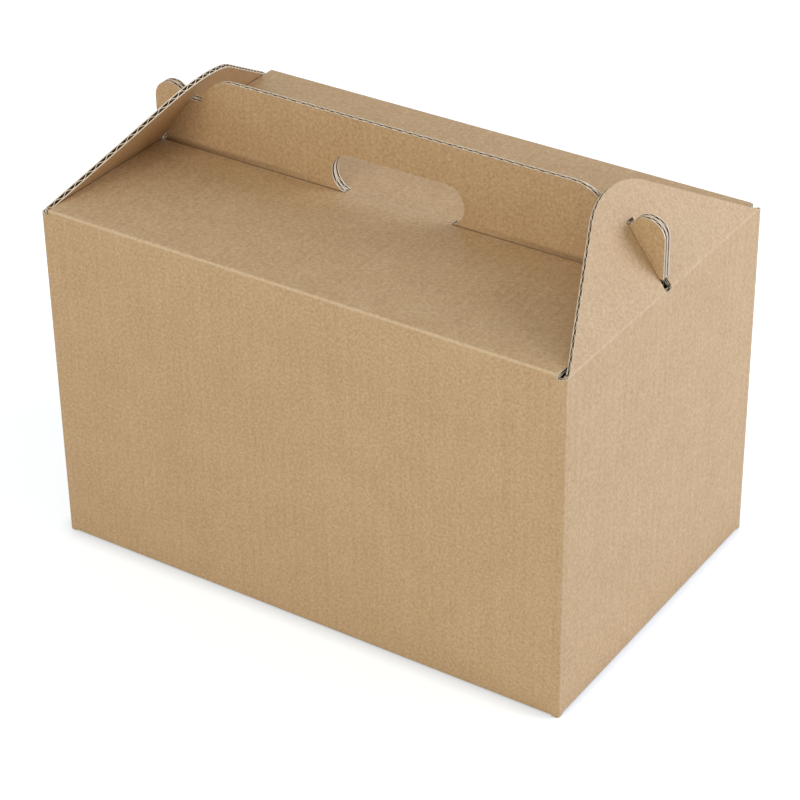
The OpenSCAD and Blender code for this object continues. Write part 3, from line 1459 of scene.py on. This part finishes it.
@dataclass
class EndFlap:
    """A pointed end flap with its slot, and the creased strip that carries it."""

    sizes: CartonSizes
    finishes: Finishes
    flutes: FluteTree
    end: End
    height: float = 61.0
    tip_r: float = 48.0
    foot_in: float = 2.0
    side_in: float = 3.2
    foot_length: float = 5.0
    slot: float = 41.8
    strip_reach: float = 0.4
    bend_reach: float = 0.42
    bend_steps: int = 6
    crease_wear_and_highlight: Pair = (0.45, 0.25)
    inner_wear_and_highlight: float = 0.3

    @property
    def hinge(self) -> Vector:
        """Middle of the crease."""
        return Vector((self.sizes.half_l * self.end.value, 0, self.sizes.hinge_z))

    @property
    def up(self) -> Vector:
        """Direction up the closed flap."""
        lean = math.radians(self.sizes.lean)
        return Vector((-math.sin(lean) * self.end.value, 0, math.cos(lean)))

    @property
    def inward(self) -> Vector:
        """Direction through the closed flap's board."""
        lean = math.radians(self.sizes.lean)
        return Vector((-math.cos(lean) * self.end.value, 0, -math.sin(lean)))

    @property
    def slot_half(self) -> float:
        """Half the width of the slot."""
        s = self.sizes
        return s.board.thick + s.handle_gap / 2 + s.play

    def side(self) -> list[Pair]:
        """Edge of the flap from its foot up to the middle of its point.

        Returns:
            Points across Y and up the board, starting at the foot.
        """
        s = self.sizes
        foot_y, tip_z = s.half_w - self.side_in, self.height - self.tip_r
        reach = math.hypot(foot_y, tip_z)
        angle = math.asin(self.tip_r / reach) + math.atan2(tip_z, foot_y)
        knee = (foot_y - self.foot_length * math.cos(angle), self.foot_length * math.sin(angle))
        corner = (s.half_w - self.foot_in, 0.0)
        share = s.crease_strip / knee[1]
        start = (corner[0] + (knee[0] - corner[0]) * share, s.crease_strip)
        tip = around((0, tip_z), self.tip_r, 90 - math.degrees(angle), 90, 2)
        return [start, knee, *tip]

    def outline(self) -> tuple[Pair, ...]:
        """Loop of the flap across Y and up the board, with its slot.

        Returns:
            The loop's points.
        """
        side = self.side()
        half, foot = self.slot_half, self.sizes.crease_strip
        left = [(-y, h) for y, h in reversed(side[:-1])]
        slot = [(-half, foot), (-half, self.slot), (half, self.slot), (half, foot)]
        return tuple(side + left + slot)

    def build(self) -> list[bpy.types.Object]:
        """Build the flap's pieces.

        Returns:
            The two liners, the medium and the creased strip.
        """
        loop = self.outline()
        sheet = Sheet()
        sheet.face([sheet.point(self.hinge + Vector((0, y, 0)) + self.up * h, self.inward, (y, h))
                    for y, h in loop])
        body = "end_flap_" + self.end.label
        made = liners(self.end.label + "_flap_", sheet, self.finishes)
        panel = Panel(self.hinge, Vector((0, 1, 0)), self.up, self.inward, loop)
        wave = self.flutes.sheet(panel, self.finishes)
        made.append(piece(self.end.label + "_flap_medium", wave))
        for obj in made:
            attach(obj, body)
        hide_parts(body)
        strip = piece(self.end.label + "_crease", self._strip(),
                      (self.finishes.outer, self.finishes.inner, self.finishes.edge))
        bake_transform(strip)
        return [*made, strip]

    def _rows(self) -> tuple[list[tuple[Vector, float]], list[tuple[Vector, float]]]:
        """Section of the creased strip.

        Returns:
            Places of the outer face's rows and of the inner face's rows, each with its wear, a
            painted highlight along the crease.
        """
        s = self.sizes
        reach, flat = s.crease_strip, Vector((0, 0, 1))
        mitre = math.tan(math.radians(s.lean / 2)) * s.board.thick
        corner = self.hinge + self.inward * s.board.thick + self.up * -mitre

        def at(base: Vector, distance: float) -> Vector:
            """Point at a distance from a corner, down the wall or up the flap."""
            return base + (self.up if distance > 0 else flat) * distance

        # The crease gets a painted highlight, brightest on the outer score line and steady on the
        # inner face, partly paler crushed paper.
        bend, (most, less) = self.bend_reach, self.crease_wear_and_highlight
        outer = [(at(self.hinge, d), w) for d, w in
                 ((-reach, 0.0), (-bend, less), (0.0, most), (bend, less), (reach, 0.0))]
        edge = reach - mitre
        steps = [i / self.bend_steps * bend for i in range(-self.bend_steps, self.bend_steps + 1)]
        inner = [(at(corner, d), self.inner_wear_and_highlight) for d in (-edge, *steps, edge)]
        return outer, inner

    def _strip(self) -> bpy.types.Mesh:
        """Make the board at the crease, closed, in two lengths beside the slot.

        Returns:
            The mesh, with outer, inner and cut faces in its material slots.
        """
        s = self.sizes
        outer, inner = self._rows()
        loop = outer + inner[::-1]
        rear = s.seam_y if self.end is End.LEFT else s.fold_y
        foot = self.side()[0][0]
        verts: list[Vector] = []
        wears: list[float] = []
        faces: list[tuple[int, ...]] = []
        kinds: list[int] = []
        count = len(loop)
        for near, far in ((self.slot_half, rear), (-self.slot_half, -s.fold_y)):
            start = len(verts)
            for place, wear in loop:
                rise = max(0.0, (place - self.hinge).dot(self.up)) / s.crease_strip
                limit = min(abs(foot), abs(far))
                reach = abs(far) + (limit - abs(far)) * min(1.0, rise)
                ends = (near, math.copysign(reach, far))
                verts += [(place + Vector((0, y, 0))) * MM for y in ends]
                wears += [wear, wear]
            for i in range(count):
                j = (i + 1) % count
                faces.append(tuple(start + k for k in (2 * i, 2 * i + 1, 2 * j + 1, 2 * j)))
                kinds.append(0 if i < len(outer) - 1 else 1)
            faces += [tuple(start + 2 * i + k for i in range(count)) for k in (0, 1)]
            kinds += [2, 2]
        mesh = bpy.data.meshes.new("crease")
        mesh.from_pydata(verts, [], faces)
        blank = mesh.uv_layers.new(name="blank")
        mesh.attributes.new("wear", "FLOAT", "POINT").data.foreach_set("value", wears)
        for loop_corner in mesh.loops:
            place = mesh.vertices[loop_corner.vertex_index].co
            blank.data[loop_corner.index].uv = (place.y, place.z)
        for polygon, kind in zip(mesh.polygons, kinds):
            polygon.material_index = kind
        turn_outward(mesh)
        return mesh


def turn_outward(mesh: bpy.types.Mesh) -> None:
    """Turn the faces of a mesh's closed parts outward.

    Args:
        mesh: The mesh, which is changed.
    """
    work = bmesh.new()
    work.from_mesh(mesh)
    bmesh.ops.recalc_face_normals(work, faces=work.faces)
    work.to_mesh(mesh)
    work.free()


@dataclass(frozen=True)
class Lamp:
    """One soft studio lamp, in metres and watts."""

    name: str
    place: tuple[float, float, float]
    size: float
    power: float
    colour: Colour


@dataclass
class Studio:
    """Floor, soft light and camera."""

    centre: tuple[float, float, float] = (0.0, 0.0, 0.11)
    world_strength: float = 0.5
    floor_half: float = 2.5
    floor_glow: Colour = (0.83, 0.93, 1.0)
    # Painted contact shadow on the floor: ambient occlusion within the contact distance greys it
    # towards painted_shadow_grey and dims its glow to the low end of glow_range.
    glow_range: Pair = (0.34, 0.52)
    painted_shadow_reach: float = 0.011
    painted_shadow_grey: Colour = (0.62, 0.64, 0.66)
    painted_shadow_range: Pair = (0.4, 1.0)
    floor_colour: Colour = (0.9, 0.9, 0.9)
    camera_back: tuple[float, float, float] = (0.46777, -0.70467, 0.53351)
    camera_roll: float = -0.823
    camera_offset: tuple[float, float, float] = (-2.873, 74.184, 1577.635)
    camera_lens: float = 121.485
    lamps: tuple[Lamp, ...] = (
        Lamp("key_lamp", (1.6, 1.15, 1.1), 1.6, 32.0, (0.78, 0.84, 1.02)),
        Lamp("fill_lamp", (-0.1, -2.15, 1.35), 1.6, 18.8, (1.0, 0.95, 0.88)),
    )

    def build(self) -> None:
        """Build the studio and set the colour view."""
        self._floor()
        self._world()
        for lamp in self.lamps:
            self._lamp(lamp)
        self._camera()
        bpy.context.scene.view_settings.view_transform = "Standard"

    def _floor(self) -> None:
        """Make the white floor, which keeps the carton's thin grey shadow from the lamps and adds a
        painted contact shadow from ambient occlusion.
        """
        half = self.floor_half
        mesh = bpy.data.meshes.new("floor")
        mesh.from_pydata([(-half, -half, 0), (half, -half, 0), (half, half, 0), (-half, half, 0)],
                         [], [(0, 1, 2, 3)])
        graph = ShaderGraph("white_floor")
        # Painted contact shadow: ambient occlusion near the carton greys the floor's colour and
        # dims its glow.
        touch = graph.add("AmbientOcclusion", {"samples": 8}, Distance=self.painted_shadow_reach)
        unshadowed_share = graph.stretch(touch.outputs["AO"], *self.painted_shadow_range, 0.0, 1.0)
        graph.finish(Base_Color=graph.blend(unshadowed_share, self.painted_shadow_grey, self.floor_colour),
                     Roughness=0.9, Specular_IOR_Level=0.1)
        strength = graph.math("MULTIPLY", graph.seen(),
                              graph.stretch(unshadowed_share, 0.0, 1.0, *self.glow_range))
        glow = graph.add("Emission", Color=(*self.floor_glow, 1.0), Strength=strength)
        both = graph.add("AddShader")
        graph.put(both.inputs[0], graph.shader.outputs[0])
        graph.put(both.inputs[1], glow.outputs[0])
        graph.put(graph.tree.nodes["Material Output"].inputs["Surface"], both.outputs[0])
        mesh.materials.append(graph.material)
        floor = bpy.data.objects.new("floor", mesh)
        bpy.context.scene.collection.objects.link(floor)

    def _world(self) -> None:
        """Light the scene evenly and show white behind it."""
        world = bpy.data.worlds.new("soft_white")
        bpy.context.scene.world = world
        world.use_nodes = True
        graph = NodeGraph(world.node_tree)
        ground = graph.tree.nodes["Background"]
        white = (1.0, 1.0, 1.0, 1.0)
        graph.put(ground.inputs["Color"], white)
        graph.put(ground.inputs["Strength"], self.world_strength)
        shown = graph.add("Background", Color=white, Strength=1.0)
        mix = graph.add("MixShader")
        for socket, value in zip(mix.inputs, (graph.seen(), ground.outputs[0], shown.outputs[0])):
            graph.put(socket, value)
        graph.put(graph.tree.nodes["World Output"].inputs["Surface"], mix.outputs[0])

    def _lamp(self, lamp: Lamp) -> None:
        """Hang one soft lamp that looks at the carton.

        Args:
            lamp: The lamp.
        """
        data = bpy.data.lights.new(lamp.name, "AREA")
        data.shape = "DISK"
        data.size = lamp.size
        data.energy = lamp.power
        data.color = lamp.colour
        obj = bpy.data.objects.new(lamp.name, data)
        obj.location = lamp.place
        aim = Vector(self.centre) - Vector(lamp.place)
        obj.rotation_euler = aim.to_track_quat("-Z", "Y").to_euler()
        bpy.context.scene.collection.objects.link(obj)

    def _camera(self) -> None:
        """Set the camera at the photograph's place and angle."""
        back = Vector(self.camera_back).normalized()
        side = Vector((0, 0, 1)).cross(back).normalized()
        rise = back.cross(side)
        roll = math.radians(self.camera_roll)
        right = side * math.cos(roll) + rise * math.sin(roll)
        up = rise * math.cos(roll) - side * math.sin(roll)
        aside, above, away = self.camera_offset
        place = (right * aside + up * above + back * away) * MM
        data = bpy.data.cameras.new("camera")
        data.sensor_width = 36.0
        data.lens = self.camera_lens
        data.clip_start = 0.05
        camera = bpy.data.objects.new("camera", data)
        matrix = Matrix((right, up, back)).transposed().to_4x4()
        camera.matrix_world = Matrix.Translation(place) @ matrix
        bpy.context.scene.collection.objects.link(camera)
        bpy.context.scene.camera = camera


def main() -> None:
    """Build the carton around the frame, then the studio, and report each piece."""
    logging.basicConfig(level=logging.INFO, format="%(name)s: %(message)s")
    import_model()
    sizes = CartonSizes()
    finishes = Finishes(sizes.board)
    flutes = FluteTree(sizes.board)
    made = CartonBody(sizes, finishes, flutes).build()
    for end in End:
        made += EndFlap(sizes, finishes, flutes, end).build()
    for obj in made:
        LOG.info("%s: %d faces", obj.name, len(obj.data.polygons))
    Studio().build()


if __name__ == "__main__":
    main()
